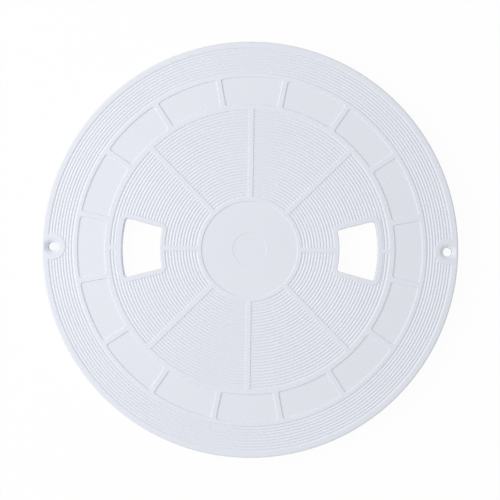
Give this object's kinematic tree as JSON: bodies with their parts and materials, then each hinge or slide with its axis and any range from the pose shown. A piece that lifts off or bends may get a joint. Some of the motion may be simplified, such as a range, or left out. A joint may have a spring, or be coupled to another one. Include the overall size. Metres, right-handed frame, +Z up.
{
  "type": "pool skimmer lid",
  "caption": "Round white pool skimmer lid with ring grooves, spokes, a band of sunk panels, a plain disc in the middle, finger openings and countersunk screw holes.",
  "frame": {"origin": "middle of the seat plane, on the lid's own axis, where the foot of the rim wall rests", "axes": "+Z up out of the grooved top face; +X along the line through both finger openings and both screw holes, towards one of them"},
  "size_m": [0.2508, 0.2508, 0.0095],
  "materials": {
    "white_plastic": "satin"
  },
  "bodies": {
    "root": {"skimmer_lid": "white_plastic"}
  },
  "joints": []
}
